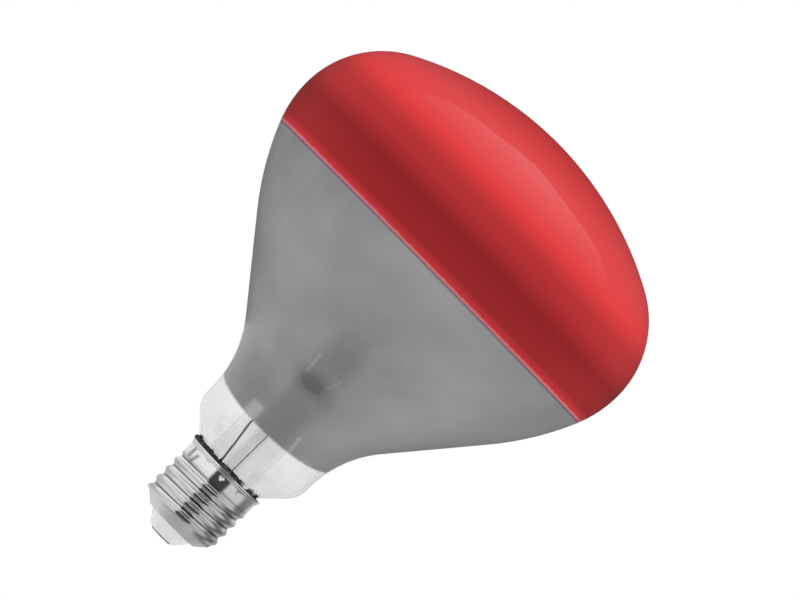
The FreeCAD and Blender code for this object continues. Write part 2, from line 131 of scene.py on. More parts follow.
class Graph:
    """A node tree and the one method that adds nodes to it."""

    def __init__(self, owner):
        owner.use_nodes = True
        self.tree = owner.node_tree
        self.tree.nodes.clear()

    def node(self, kind, settings=None, inputs=None, output=0):
        """Adds a node, with its settings first and then the values or links of its sockets."""
        made = self.tree.nodes.new(kind)
        for name, value in (settings or {}).items():
            setattr(made, name, value)
        for name, value in (inputs or {}).items():
            if isinstance(value, Socket):
                self.tree.links.new(value.out, made.inputs[name])
            elif made.inputs[name].type == "RGBA":
                made.inputs[name].default_value = rgba(value)
            else:
                made.inputs[name].default_value = value
        return Socket(self, made.outputs[output]) if len(made.outputs) else made

    def mix(self, mask, low, high):
        """A colour between low and high."""
        return self.node("ShaderNodeMix", {"data_type": "RGBA"}, {0: mask, 6: low, 7: high}, 2)

    def stops(self, value, low, high, colours):
        """A colour that passes through the given ones, each named by the value where it stands."""
        spread = self.node("ShaderNodeMapRange", None, {0: value, 1: low, 2: high})
        ramp = self.node("ShaderNodeValToRGB", None, {0: spread})
        marks = ramp.out.node.color_ramp.elements
        while len(marks) < len(colours):
            marks.new(0.5)
        for mark, (place, colour) in zip(marks, sorted(colours.items())):
            mark.position = (place - low) / (high - low)
            mark.color = rgba(colour)
        return ramp

    def blend(self, mask, first, second):
        """A shader between first and second."""
        return self.node("ShaderNodeMixShader", None, {0: mask, 1: first, 2: second})

    def noise(self, scale, vector, detail=3.0):
        return self.node("ShaderNodeTexNoise", None, {"Scale": scale, "Detail": detail, "Vector": vector})

    def bump(self, height, distance):
        """Relief whose height of 1 stands distance millimetres proud."""
        return self.node("ShaderNodeBump", None, {"Height": height, "Distance": distance * MM})

    def principled(self, **inputs):
        """The standard surface, its sockets named with underscores for spaces."""
        named = {name.replace("_", " "): value for name, value in inputs.items()}
        return self.node("ShaderNodeBsdfPrincipled", None, named)

    def ray(self, kind):
        """1 for a ray of this kind: Camera, Glossy or Transmission."""
        return self.node("ShaderNodeLightPath", None, None, f"Is {kind} Ray")

    def place(self, stretch=(1.0, 1.0, 1.0)):
        """Where a point of the piece lies, in millimetres: the vector and its x, y and z."""
        raw = self.node("ShaderNodeTexCoord", None, None, "Object")
        scaled = self.node("ShaderNodeMapping", None, {"Vector": raw, "Scale": [s / MM for s in stretch]})
        return (scaled, *(self.node("ShaderNodeSeparateXYZ", None, {0: scaled}, i) for i in range(3)))


def material(name, paint):
    """A material whose shader is what paint(graph) returns."""
    made = bpy.data.materials.new(name)
    graph = Graph(made)
    graph.node("ShaderNodeOutputMaterial", None, {0: paint(graph)})
    return made


# %% [markdown]
# The photograph has an even white background and a dark studio round it. The world is white for the
# camera and for what is seen through the glass. For a mirror it has one softbox, which hangs over the
# face and ends behind it, so that the lacquer shows a long highlight that grows slowly and ends crisply.

# %% Studio world
ambient = 0.54
dark_studio = 0.05
softbox = 1.12
end_slope = 1.2
end_bow = 0.43

world = bpy.data.worlds.new("studio")
bpy.context.scene.world = world
sky = Graph(world)
toward = sky.node("ShaderNodeTexCoord", None, None, "Generated")
side, back, up = (sky.node("ShaderNodeSeparateXYZ", None, {0: toward}, i) for i in range(3))
crisp_end = (up - end_slope * back - end_bow * side.abs()).ramp(0.0, 0.05)
window = crisp_end * back.ramp(-0.6, 0.36) * side.abs().ramp(0.0, 0.9, 1.0, 0.0)
mirrored = sky.mix(window, (dark_studio,) * 3, (softbox,) * 3)
lit = sky.mix(sky.ray("Glossy"), (ambient,) * 3, mirrored)
shown = sky.mix(sky.ray("Camera").most(sky.ray("Transmission")), lit, WHITE)
sky.node("ShaderNodeOutputWorld", None, {0: sky.node("ShaderNodeBackground", None, {0: shown})})


# %% Lamps
def soft_light(name, place, size, watts):
    """A square soft light at a place in millimetres, aimed at the middle of the lamp."""
    light = bpy.data.objects.new(name, bpy.data.lights.new(name, "AREA"))
    light.data.shape = "SQUARE"
    light.data.size = size * MM
    light.data.energy = watts
    light.location = Vector(place) * MM
    light.rotation_mode = "QUATERNION"
    light.rotation_quaternion = (aim - light.location).to_track_quat("-Z", "Y")
    light.visible_camera = False
    light.visible_glossy = False
    light.visible_transmission = False
    bpy.context.scene.collection.objects.link(light)


soft_light("face_light", (0, -120, 1300), 800, 12.0)
soft_light("left_edge_light", (-1200, 600, 100), 600, 5.0)
soft_light("right_edge_light", (1200, 600, 100), 600, 5.5)


# %% [markdown]
# The floor lies under the lamp, out of the camera's view, so that its shadow never crosses the cap. It is
# pale near the lamp, where it keeps the shadow, and fades to the white of the background further out. A
# mirror sees it as a table in a dark room, with a soft sheen on either side of the lamp.

# %% Floor
floor_drop = 100.0
floor_reach = 6000.0
shadow_reach = 450.0
sheen_side = 160.0
sheen_back = 20.0
sheen_core = 30.0
sheen_edge = 140.0
table_core = 250.0
table_edge = 500.0


def floor_paint(graph):
    _, x, y, _ = graph.place()
    distance = (x * x + y * y).root()
    pale = graph.node("ShaderNodeBsdfDiffuse", None, {0: (0.82, 0.82, 0.82)})
    white = graph.node("ShaderNodeEmission", None, {0: WHITE})
    through = graph.ray("Transmission")
    seen = graph.ray("Camera").most(through)
    plain = graph.blend(seen * distance.ramp(shadow_reach, 1.5 * shadow_reach), pale, white)
    aside = x.abs() - sheen_side
    ahead = y - sheen_back
    sheen = (aside * aside + ahead * ahead).root().ramp(sheen_core, sheen_edge, 0.75, 0.5)
    table = sheen * x.abs().ramp(5.0, 60.0, 0.75, 1.0) * distance.ramp(table_core, table_edge, 1.0, 0.1)
    mirrored = graph.node("ShaderNodeEmission", None, {0: graph.mix(table, BLACK, WHITE)})
    return graph.blend(graph.ray("Glossy") * (1.0 - through), plain, mirrored)


bm = bmesh.new()
bmesh.ops.create_circle(bm, cap_ends=True, radius=floor_reach * MM, segments=64)
bmesh.ops.translate(bm, vec=(0, 0, -floor_drop * MM), verts=bm.verts)
floor_mesh = bpy.data.meshes.new("floor")
bm.to_mesh(floor_mesh)
bm.free()
floor_mesh.materials.append(material("floor", floor_paint))
floor = bpy.data.objects.new("floor", floor_mesh)
bpy.context.scene.collection.objects.link(floor)


# %% [markdown]
# A cap that was polished by its rollers mirrors what stands beside it, so it gets a strip of card, bent
# into a tube round it and seen only in reflections. The card is white on the left and grey on the right,
# with a dark column in front, where the photographer stood, and it is brighter level with the skirt.

# %% Bent card
card_radius = 30.0
card_low = -38.0
card_high = 58.0
column_turn = 6.0


def greys(marks):
    """Stops without a hue, from the place and the brightness of each."""
    return {place: (bright,) * 3 for place, bright in marks.items()}


def card_paint(graph):
    _, x, y, z = graph.place()
    azimuth = x.turn_from(0.0 - y) * (180 / math.pi)
    around = greys({-180: 0.8, -90: 0.9, -17: 1.0, -12: 0.03, 22: 0.03, 28: 0.68, 68: 0.68,
                    82: 0.22, 104: 0.22, 122: 0.6, 180: 0.8})
    upward = greys({card_low: 0.8, -8: 0.85, 0: 0.62, 20: 0.62, 22: 1.0, 30: 1.0, 42: 0.75, card_high: 0.75})
    column = greys({card_low: 0.12, -10: 0.12, 2: 0.03, 27: 0.03, 29: 0.8, 35: 0.8, 38: 0.06, card_high: 0.1})
    beside = graph.stops(azimuth, -180, 180, around) * graph.stops(z, card_low, card_high, upward)
    in_front = (azimuth - column_turn).abs().ramp(15.0, 21.0, 1.0, 0.0)
    glow = beside + in_front * graph.stops(z, card_low, card_high, column)
    shine = graph.node("ShaderNodeEmission", None, {0: graph.mix(glow, BLACK, WHITE)})
    return graph.blend(graph.ray("Transmission"), shine, graph.node("ShaderNodeBsdfTransparent"))


bm = bmesh.new()
low_end = bm.verts.new((card_radius * MM, 0, card_low * MM))
high_end = bm.verts.new((card_radius * MM, 0, card_high * MM))
bm.edges.new((low_end, high_end))
bmesh.ops.spin(bm, geom=bm.verts[:] + bm.edges[:], cent=(0, 0, 0), axis=(0, 0, 1), dvec=(0, 0, 0),
               angle=math.tau, steps=96, use_merge=True)
card_mesh = bpy.data.meshes.new("card")
bm.to_mesh(card_mesh)
bm.free()
card_mesh.materials.append(material("card", card_paint))
card_mesh.materials[0].cycles.emission_sampling = "NONE"
card = bpy.data.objects.new("card", card_mesh)
card.visible_camera = False
card.visible_diffuse = False
card.visible_transmission = False
card.visible_shadow = False
bpy.context.scene.collection.objects.link(card)


# %% [markdown]
# Nearly everything on a lamp is turned: glass is blown and pressed on a turning lathe, and the cap is
# drawn and rolled. So each piece starts as an outline in the plane through the axis, drawn with a pen
# whose arcs are spun round their own centres, and the outline is then spun once round the axis.

# %% Pen and lathe
class Pen:
    """Draws an outline in the plane y = 0, with x as the radius and z as the height."""

    def __init__(self, bm, r, z):
        self.bm = bm
        self.tip = bm.verts.new((r, 0, z))

    def line(self, r, z, steps=1):
        start = self.tip.co.copy()
        for i in range(steps):
            self.tip = bmesh.ops.extrude_vert_indiv(self.bm, verts=[self.tip])["verts"][0]
            self.tip.co = start.lerp((r, 0, z), (i + 1) / steps)

    def arc(self, centre, degrees, steps):
        """Goes round centre, from up towards out for a positive angle."""
        made = bmesh.ops.spin(self.bm, geom=[self.tip], cent=(centre[0], 0, centre[1]), axis=(0, 1, 0),
                              dvec=(0, 0, 0), angle=math.radians(degrees), steps=steps)
        self.tip = next(v for v in made["geom_last"] if isinstance(v, bmesh.types.BMVert))


def eased(x):
    """A smooth step from 0 to 1."""
    x = min(max(x, 0.0), 1.0)
    return x * x * (3 - 2 * x)


def spun(bm, steps):
    """Spins the outline once round the axis, then closes its seam and its poles."""
    bmesh.ops.spin(bm, geom=bm.verts[:] + bm.edges[:], cent=(0, 0, 0), axis=(0, 0, 1), dvec=(0, 0, 0),
                   angle=math.tau, steps=steps, use_merge=True)
    bmesh.ops.remove_doubles(bm, verts=bm.verts, dist=0.001)
    bmesh.ops.recalc_face_normals(bm, faces=bm.faces)


def piece(bm, name, slot, replaced, *materials):
    """The finished mesh as a piece of the lamp, in metres, standing for the solids that it replaces."""
    bmesh.ops.scale(bm, vec=(MM, MM, MM), verts=bm.verts)
    mesh = bpy.data.meshes.new(name)
    bm.to_mesh(mesh)
    bm.free()
    for m in materials:
        mesh.materials.append(m)
    mesh.shade_smooth()
    mesh.set_sharp_from_angle(angle=math.radians(40))
    made = bpy.data.objects.new(name, mesh)
    bpy.context.scene.collection.objects.link(made)
    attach(made, "root")
    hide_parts(*replaced)
    low, high = (Vector(f(v.co[i] for v in mesh.vertices) for i in range(3)) / MM for f in (min, max))
    print(name, len(mesh.polygons), "faces", [round(x, 2) for x in (*low, *high)])
    return made


# %% [markdown]
# The bulb's outline is a chain of arcs that run smoothly into each other: the shallow face, its edge, the
# belt, the long flank, a straight cone, the flare into the neck, the shoulder under the neck and the
# fillet down to the seal. Each arc keeps its centre when the wall is drawn, so the glass is even.

# %% Bulb sizes
bulb_diameter = 127.0
dome_height = 38.9
face_edge_radius = 30.5
belt_radius = 35.7
belt_angle = 22.8
flank_radius = 90.7
cone_angle = 39.4
neck_flare_radius = 34.0
neck_diameter = 40.3
neck_length = 1.26
neck_shoulder_radius = 8.0
neck_cone_angle = 45.0
seal_fillet = 4.0
seal_length = 8.58
seal_diameter = 21.4
seal_height = 16.0
glass_wall = 0.9
bulb_steps = 192


def on_arc(centre, radius, degrees):
    """A point of an arc, with its angle from straight out."""
    turn = math.radians(degrees)
    return centre[0] + radius * math.cos(turn), centre[1] + radius * math.sin(turn)


def up_slope(start, r, degrees):
    """Where a straight flank from start reaches radius r, its angle given from upright."""
    return r, start[1] + (r - start[0]) / math.tan(math.radians(degrees))


def step_out(radius, first, last):
    """How far an arc moves in or out between two angles."""
    return radius * (math.cos(math.radians(first)) - math.cos(math.radians(last)))


seal_centre = (seal_diameter / 2 + seal_fillet, seal_height + seal_length)
seal_end = on_arc(seal_centre, seal_fillet, 180 - neck_cone_angle)
neck_r = neck_diameter / 2
shoulder_r = neck_r - step_out(neck_shoulder_radius, 0, neck_cone_angle)
shoulder_end = up_slope(seal_end, shoulder_r, neck_cone_angle)
shoulder_centre = on_arc(shoulder_end, neck_shoulder_radius, 180 - neck_cone_angle)
flare_centre = (neck_r + neck_flare_radius, shoulder_centre[1] + neck_length)
flare_end = on_arc(flare_centre, neck_flare_radius, 180 - cone_angle)
widest_r = bulb_diameter / 2
flank_r = widest_r - step_out(belt_radius, 0, belt_angle) - step_out(flank_radius, belt_angle, cone_angle)
flank_end = up_slope(flare_end, flank_r, cone_angle)
flank_centre = on_arc(flank_end, flank_radius, 180 - cone_angle)
belt_end = on_arc(flank_centre, flank_radius, -belt_angle)
belt_centre = on_arc(belt_end, belt_radius, 180 - belt_angle)
edge_centre = (widest_r - face_edge_radius, belt_centre[1])
flatness = 2 * (dome_height - face_edge_radius)
face_radius = (dome_height**2 + edge_centre[0] ** 2 - face_edge_radius**2) / flatness
face_centre = (0.0, edge_centre[1] + dome_height - face_radius)
edge_start = math.degrees(math.atan2(edge_centre[1] - face_centre[1], edge_centre[0]))
print("widest ring at", round(belt_centre[1], 2), "length", round(edge_centre[1] + dome_height, 2))


# %% Bulb mesh
def draw_bulb(bm, inset):
    """One skin of the bulb, from the middle of its face down to the seal."""
    pen = Pen(bm, 0, face_centre[1] + face_radius - inset)
    pen.arc(face_centre, 90 - edge_start, steps=22)
    pen.arc(edge_centre, edge_start, steps=22)
    pen.arc(belt_centre, belt_angle, steps=10)
    pen.arc(flank_centre, cone_angle - belt_angle, steps=16)
    pen.line(*on_arc(flare_centre, neck_flare_radius + inset, 180 - cone_angle), steps=14)
    pen.arc(flare_centre, -cone_angle, steps=14)
    pen.line(neck_r - inset, shoulder_centre[1], steps=2)
    pen.arc(shoulder_centre, neck_cone_angle, steps=8)
    pen.line(*on_arc(seal_centre, seal_fillet + inset, 180 - neck_cone_angle), steps=5)
    pen.arc(seal_centre, -neck_cone_angle, steps=6)
    pen.line(seal_diameter / 2 - inset, seal_height, steps=5)
    return pen.tip


bm = bmesh.new()
outer_end = draw_bulb(bm, 0)
inner_end = draw_bulb(bm, glass_wall)
bm.edges.new((outer_end, inner_end))
spun(bm, bulb_steps)
print("glass volume in mm3:", round(bm.calc_volume(), 0))


# %% [markdown]
# The wall has four looks: clear glass at the neck, a satin grey film that is seen through the glass on
# the cone, red lacquer on the face, and the bright inner side of the film. The first three share one
# material, and masks made from the place on the bulb say which shows. The film was flashed onto a leaning
# bulb, so its lower edge leans too, and the lacquer was dipped, so it has a bead of clear red at its rim.

# %% Bulb materials
film_foot = 47.05
film_lean_front = 0.21
film_lean_side = 0.03
lacquer_line = 108.6
clear_below = 40.0


def clear_glass(graph, low=0.87, high=0.915):
    """Glass that takes a little light away, unevenly, at each of its faces."""
    cloud = graph.noise(0.12, graph.place()[0], 3.0).ramp(0.35, 0.65)
    haze = graph.mix(cloud, (low,) * 3, (high,) * 3)
    return graph.principled(Base_Color=haze, Roughness=0.0, IOR=1.47, Transmission_Weight=1.0)


def film_mask(graph, x, y, z):
    """1 where the film lies on the glass, with its soft leaning foot."""
    foot = film_foot + film_lean_front * y + film_lean_side * x
    return (z - foot).ramp(-0.7, 0.6)


def streak(x, z, middle, lean, half_length, half_width):
    """1 on a short soft streak whose middle, lean from upright and size are given."""
    turn = math.radians(lean)
    along = (x - middle[0]) * math.sin(turn) + (z - middle[1]) * math.cos(turn)
    across = (x - middle[0]) * math.cos(turn) - (z - middle[1]) * math.sin(turn)
    ends = along.abs().ramp(half_length * 0.7, half_length * 1.3, 1.0, 0.0)
    return ends * across.abs().ramp(half_width * 0.5, half_width * 1.5, 1.0, 0.0)


def blot(x, z, middle, half_width, half_height, depth):
    """Depth in the middle of a soft oval, and 0 outside it."""
    across = (x - middle[0]) / half_width
    along = (z - middle[1]) / half_height
    return (across * across + along * along).root().ramp(0.15, 1.0, depth, 0.0)


def film_colour(graph, where, x, y, z):
    """Satin grey and cloudy, lighter towards the belt and darker in a band round z = 73. On its front:
    painted shade of the inner mount seen through the film, a darker column up the middle, a darker patch low
    on the left, two pale streaks, painted highlights of the stem through thin places at the film's foot and a
    paler patch near the belt.
    """
    front = y.ramp(-4.0, 0.0, 1.0, 0.0)
    cloud = graph.noise(0.03, where, 2.0).ramp(0.3, 0.7)
    patch = graph.noise(0.09, where, 2.0).ramp(0.3, 0.7)
    fine = graph.noise(0.35, where, 4.0)
    # Painted shade: the dark inner mount seen through the film, as two soft dark blots.
    mount_shade = blot(x, z, (-0.7, 62.1), 4.4, 2.8, 0.65) + blot(x, z, (-0.4, 62.3), 10.0, 5.5, 0.6)
    # A darker column up the middle of the front, and a darker patch low on the left.
    middle_darkening = blot(x, z, (0.5, 72.0), 10.0, 13.0, 0.4) + blot(x, z, (-0.5, 50.5), 9.0, 8.0, 0.06)
    low_left_patch = blot(x, z, (-14.0, 52.0), 18.0, 18.0, 0.36)
    lines = streak(x, z, (-4.5, 67.1), -4.3, 3.3, 0.5) + streak(x, z, (4.1, 66.2), 17.5, 2.4, 0.25)
    # Painted highlights: the stem's bright edges showing through thin places at the film's foot.
    stem_highlights = streak(x, z, (8.4, 45.8), -9.0, 2.8, 0.45) * 2.4 + streak(x, z, (-7.0, 44.8), 0.0, 2.8, 2.0)
    # A paler patch on the front near the belt.
    paler_belt_patch = (x - 6.0).abs().ramp(8.0, 30.0, 0.3, 0.0) * z.ramp(96.0, 106.0)
    marks = lines * 0.4 + stem_highlights * 0.9 + paler_belt_patch - mount_shade - middle_darkening - low_left_patch
    even = cloud * 0.2 + patch * 0.16 + fine * 0.12 + z.ramp(82.0, 104.0, 0.19, 0.37)
    # Darker in a band round z = 73.
    darker_band = (z - 73.0).abs().ramp(5.0, 14.0, 0.14, 0.0)
    tone = (even - darker_band + front * marks) * 0.65 + 0.35
    return graph.mix(tone, (0.21, 0.21, 0.21), (0.51, 0.51, 0.51))


def lacquer_colour(graph, where, z):
    """Red with painted shade and light: darker towards the belt, lighter up the face and lightest near z =
    138; clearer in a strip at its rim, which ends in a thin ragged pink line.
    """
    # Painted shade and light: the red darkens towards the belt and lightens up the face, as the light falls
    # on it.
    shaded_red = graph.stops(z, 108.0, 160.0, {
        108.0: (0.46, 0.024, 0.027), 116.0: (0.43, 0.022, 0.026), 121.0: (0.37, 0.018, 0.021),
        127.0: (0.53, 0.032, 0.036), 132.0: (0.56, 0.034, 0.038), 138.0: (0.76, 0.046, 0.048),
        142.0: (0.70, 0.054, 0.060), 150.0: (0.62, 0.048, 0.053), 160.0: (0.50, 0.020, 0.023)})
    strip = z.ramp(109.4, 112.2, 1.0, 0.0)
    clear_red = graph.mix(strip, shaded_red, (0.68, 0.034, 0.044))
    ragged = graph.noise(0.9, where, 3.0)
    pink = (z + ragged * 0.9).ramp(109.35, 110.0, 1.0, 0.0)
    return graph.mix(pink, clear_red, (0.80, 0.2, 0.24))


def wall_paint(graph):
    """The outside of the bulb: clear neck, film behind the glass, lacquer on it."""
    where, x, y, z = graph.place()
    wobble = graph.noise(0.5, where, 2.0) * 0.3 - 0.15
    red = (z + wobble).ramp(lacquer_line - 0.05, lacquer_line + 0.05)
    dull_line = (z - lacquer_line + 0.2).abs().ramp(0.2, 0.6, 0.85, 0.0)
    grey = graph.mix(dull_line, film_colour(graph, where, x, y, z), (0.33, 0.2, 0.25))
    colour = graph.mix(red, grey, lacquer_colour(graph, where, z))
    coated = graph.principled(
        Base_Color=colour, Metallic=(1.0 - red) * 0.4, Roughness=0.42, Specular_IOR_Level=0.1,
        Coat_Weight=red * 0.26 + 0.2, Coat_Roughness=0.04, Coat_IOR=1.42)
    return graph.blend(film_mask(graph, x, y, z), clear_glass(graph), coated)


def mirror_paint(graph):
    """The inside of the cone, which is a mirror above the film's foot."""
    where, x, y, z = graph.place()
    streaks = graph.noise(0.2, where, 3.0)
    film = graph.principled(Base_Color=(0.86, 0.86, 0.87), Metallic=1.0, Roughness=streaks * 0.1 + 0.05)
    return graph.blend(film_mask(graph, x, y, z), clear_glass(graph), film)


wall_glass = material("bulb_wall", wall_paint)
mirror_glass = material("mirror_film", mirror_paint)
neck_glass = material("neck_glass", clear_glass)
on_wall, on_mirror, on_neck = range(3)

for f in bm.faces:
    middle = f.calc_center_median()
    faces_axis = middle.xy.dot(f.normal.xy) < 0
    if middle.z < clear_below:
        f.material_index = on_neck
    elif faces_axis and middle.z < lacquer_line:
        f.material_index = on_mirror
    else:
        f.material_index = on_wall
piece(bm, "bulb", "bulb_glass", ["envelope"], wall_glass, mirror_glass, neck_glass)


# %% [markdown]
# The stem is a glass tube with a flared foot that is melted to the seal. Its top is squeezed flat round
# the wires. It is turned like the rest, and tongs then press its upper part: each point that would stand
# outside the tongs is moved onto them. The pumping tube hangs in the middle, and its tip is melted shut.

# %% Stem sizes
stem_r = 8.35
stem_wall = 1.3
stem_flare_radius = 1.4
pinch_start = 46.5
pinch_end = 55.0
press_half = 3.2
stem_top = 64.5
bore_top = 53.5
exhaust_r = 2.3
exhaust_wall = 0.9
exhaust_tip = 10.4
stem_edge_round = 1.0
exhaust_gap = 0.05
stem_steps = 96
exhaust_steps = 48


# %% Stem mesh
bm = bmesh.new()
turn_height = seal_height + stem_flare_radius
turn_centre = (stem_r + stem_flare_radius, turn_height)
under = stem_flare_radius + stem_wall
pen = Pen(bm, 0, stem_top)
pen.line(stem_r - stem_edge_round, stem_top, steps=4)
pen.arc((stem_r - stem_edge_round, stem_top - stem_edge_round), 90, steps=4)
pen.line(stem_r, pinch_start, steps=14)
pen.line(stem_r, turn_height, steps=6)
pen.arc(turn_centre, -90, steps=5)
pen.line(seal_diameter / 2, seal_height)
pen.line(seal_diameter / 2, seal_height - stem_wall)
pen.line(turn_centre[0], turn_height - under)
pen.arc(turn_centre, 90, steps=5)
pen.line(stem_r - stem_wall, pinch_start, steps=6)
pen.line(stem_r - stem_wall, bore_top, steps=8)
pen.line(0, bore_top, steps=6)
spun(bm, stem_steps)
for v in bm.verts:
    if v.co.z > pinch_start:
        inside = math.hypot(v.co.x, v.co.y) < stem_r - stem_wall / 2 and v.co.z < bore_top + 0.01
        flat = exhaust_r + exhaust_gap if inside else press_half
        squeeze = eased((v.co.z - pinch_start) / (pinch_end - pinch_start))
        widest = stem_r - stem_wall if inside else stem_r
        limit = widest + (flat - widest) * squeeze
        v.co.y = min(max(v.co.y, -limit), limit)
bmesh.ops.recalc_face_normals(bm, faces=bm.faces)
stem_glass = material("stem_glass", lambda graph: clear_glass(graph, 0.925, 0.955))
piece(bm, "stem", "stem_glass", ["stem_tube"], stem_glass)

# %% Pumping tube
bm = bmesh.new()
tip_centre = (0.0, exhaust_tip + exhaust_r)
pen = Pen(bm, exhaust_r - exhaust_wall, bore_top)
pen.line(exhaust_r, bore_top)
pen.line(exhaust_r, tip_centre[1], steps=12)
pen.arc(tip_centre, 90, steps=8)
inner = Pen(bm, exhaust_r - exhaust_wall, bore_top)
inner.line(exhaust_r - exhaust_wall, tip_centre[1], steps=12)
inner.arc(tip_centre, 90, steps=8)
spun(bm, exhaust_steps)
piece(bm, "pumping_tube", "stem_glass", ["exhaust_tube"], stem_glass)


# %% [markdown]
# The cap's shell is thin sheet: a plain cup is drawn, its thread is rolled in, its edge is flared and a
# ring of pointed stakes is punched under the rim. The mesh is made in that order. A plain cup is spun, a
# roller's wave moves its points in and out, the punch dents them, and Solidify gives the sheet its
# thickness.

# %% Shell sizes
cap_bottom = 4.6
cap_bottom_r = 8.9
cap_opening_r = 7.8
cap_shoulder_angle = 43.0
cap_shoulder_round = 0.6
thread_r = 13.025
thread_root_r = 12.125
thread_pitch = 3.629
thread_crest_height = 20.7
thread_low = 6.6
thread_high = 22.0
thread_run_in = 1.2
skirt_r = 12.8
skirt_step = 20.6
skirt_step_length = 1.4
rim_r = 13.45
rim_start = 25.5
lower_bead_r = 13.2
lower_bead_height = 25.85
bead_valley_r = 13.1
bead_valley_height = 26.15
rim_flare_height = 26.5
rim_height = 26.9
sheet = 0.3
dimple_count = 12
dimple_turn = 2.5
stake_foot = 23.1
stake_half_width = 1.45
stake_depth = 0.4
stake_top_fade = 0.5
satin_end = 7.4
thread_shade_end = 21.4
shell_steps = 288
shell_rows = 112


def shell_radius(degrees, z):
    """Outside radius of the rolled sheet: shoulder, thread and skirt."""
    shoulder = cap_bottom_r + (z - cap_bottom) / math.tan(math.radians(cap_shoulder_angle))
    near = max(cap_shoulder_round - abs(shoulder - thread_root_r), 0.0)
    plain = min(shoulder, thread_root_r) - near**2 / (4 * cap_shoulder_round)
    plain += (skirt_r - thread_root_r) * eased((z - skirt_step) / skirt_step_length)
    fade = eased((z - thread_low) / thread_run_in) * eased((thread_high - z) / thread_run_in)
    phase = math.tau * (z - thread_crest_height) / thread_pitch - math.radians(degrees)
    return plain + (thread_r - thread_root_r) * fade * (0.5 + 0.5 * math.cos(phase))


def dent(degrees, z):
    """How deep the pointed punch has pushed the skirt in under the rim at this place."""
    if z <= stake_foot:
        return 0.0
    step = 360 / dimple_count
    off = (degrees + 90 - dimple_turn + step / 2) % step - step / 2
    rise = (z - stake_foot) / (rim_start - stake_foot)
    across = abs(math.radians(off)) * skirt_r / (stake_half_width * rise)
    return stake_depth * eased(1 - across) * eased(rise * 1.2) * eased((rim_start - z) / stake_top_fade)


# %% Shell mesh
bm = bmesh.new()
pen = Pen(bm, cap_opening_r, cap_bottom)
pen.line(cap_bottom_r, cap_bottom, steps=3)
pen.line(skirt_r, rim_start, steps=shell_rows)
pen.line(lower_bead_r, lower_bead_height, steps=2)
pen.line(bead_valley_r, bead_valley_height, steps=2)
pen.line(rim_r, rim_flare_height, steps=2)
pen.line(rim_r, rim_height, steps=2)
spun(bm, shell_steps)
for v in bm.verts:
    z = v.co.z
    if cap_bottom < z <= rim_start:
        degrees = math.degrees(math.atan2(v.co.y, v.co.x))
        r = shell_radius(degrees, z) - dent(degrees, z)
        v.co.xy = v.co.xy.normalized() * r
cap_middle = Vector((0, 0, 15))
if sum(f.normal.dot(f.calc_center_median() - cap_middle) for f in bm.faces) < 0:
    bmesh.ops.reverse_faces(bm, faces=bm.faces)


def nickel_paint(graph):
    """Bright plate with a satin shoulder, painted shade in the thread roots, painted dark reflection lines
    along the thread flanks and two streaks of painted shade by the stakes on the front left.
    """
    where, x, y, z = graph.place()
    rolled = graph.noise(1.5, graph.place((0.12, 0.12, 1.0))[0], 4.0)
    speck = graph.noise(6.0, where, 2.0)
    satin = z.ramp(satin_end, satin_end + 1.0, 1.0, 0.0)
    plate = graph.mix(speck.ramp(0.45, 0.75), (0.84, 0.84, 0.83), (0.68, 0.68, 0.67))
    grain = graph.noise(2.2, graph.place((1.0, 1.0, 0.2))[0], 1.0)
    stipple = graph.mix(grain, (0.7, 0.7, 0.7), (1.0, 1.0, 1.0))
    phase = (z - thread_crest_height) * (math.tau / thread_pitch) - y.turn_from(x)
    wave = phase.cosine()
    threaded = z.ramp(thread_shade_end, thread_shade_end + 0.5, 1.0, 0.0) * (1.0 - satin)
    # Painted reflection: thin dark lines along each turn, on both sides of the crest, broken up by the roller
    # noise.
    flank_reflection_lines = (wave - 0.45).abs().ramp(0.04, 0.17, 0.65, 0.0) * rolled.ramp(0.25, 0.55)
    # Painted shade: a thin dark line all round the thread root, joined to the lines above and kept to the
    # thread.
    root_and_flank_shade = (wave.ramp(-1.0, -0.82, 0.75, 0.0) + flank_reflection_lines) * threaded
    # Painted shade: two dark streaks by the stake dents on the front left of the skirt, kept to the front
    # below.
    stake_shade = streak(x, z, (-10.7, 23.5), 0.0, 1.5, 0.5) + streak(x, z, (-9.0, 23.0), 14.0, 1.5, 0.5)
    marks = root_and_flank_shade + stake_shade * y.ramp(-4.0, 0.0, 0.6, 0.0)
    tone = graph.mix(marks, graph.mix(satin, plate, stipple), (0.05, 0.05, 0.05))
    rough = satin * 0.3 + rolled * 0.1 + 0.05
    return graph.principled(Base_Color=tone, Metallic=1.0, Roughness=rough, Normal=graph.bump(rolled, 0.05))


shell = piece(bm, "screw_shell", "nickel_plate", ["cap_shell"], material("nickel_plate", nickel_paint))
wall = shell.modifiers.new("sheet", "SOLIDIFY")
wall.thickness = sheet * MM
wall.offset = -1.0


# %% [markdown]
# The insulator is a moulded cone, pale and slightly glossy, that is crimped into the shell's lower edge.
# The contact is a small plate in its end, and the centre lead is soldered into a hole in the plate.

# %% Insulator and contact
insulator_bore_r = 1.0
insulator_top = 7.4
insulator_top_r = 11.2
insulator_seat = 4.93
insulator_seat_r = 8.6
insulator_lip_r = 7.75
insulator_foot = 0.78
insulator_foot_r = 4.75
insulator_end = 0.4
recess_r = 3.75
contact_r = 3.7
contact_hole_r = 1.2
contact_edge_round = 0.3
contact_thickness = 0.9

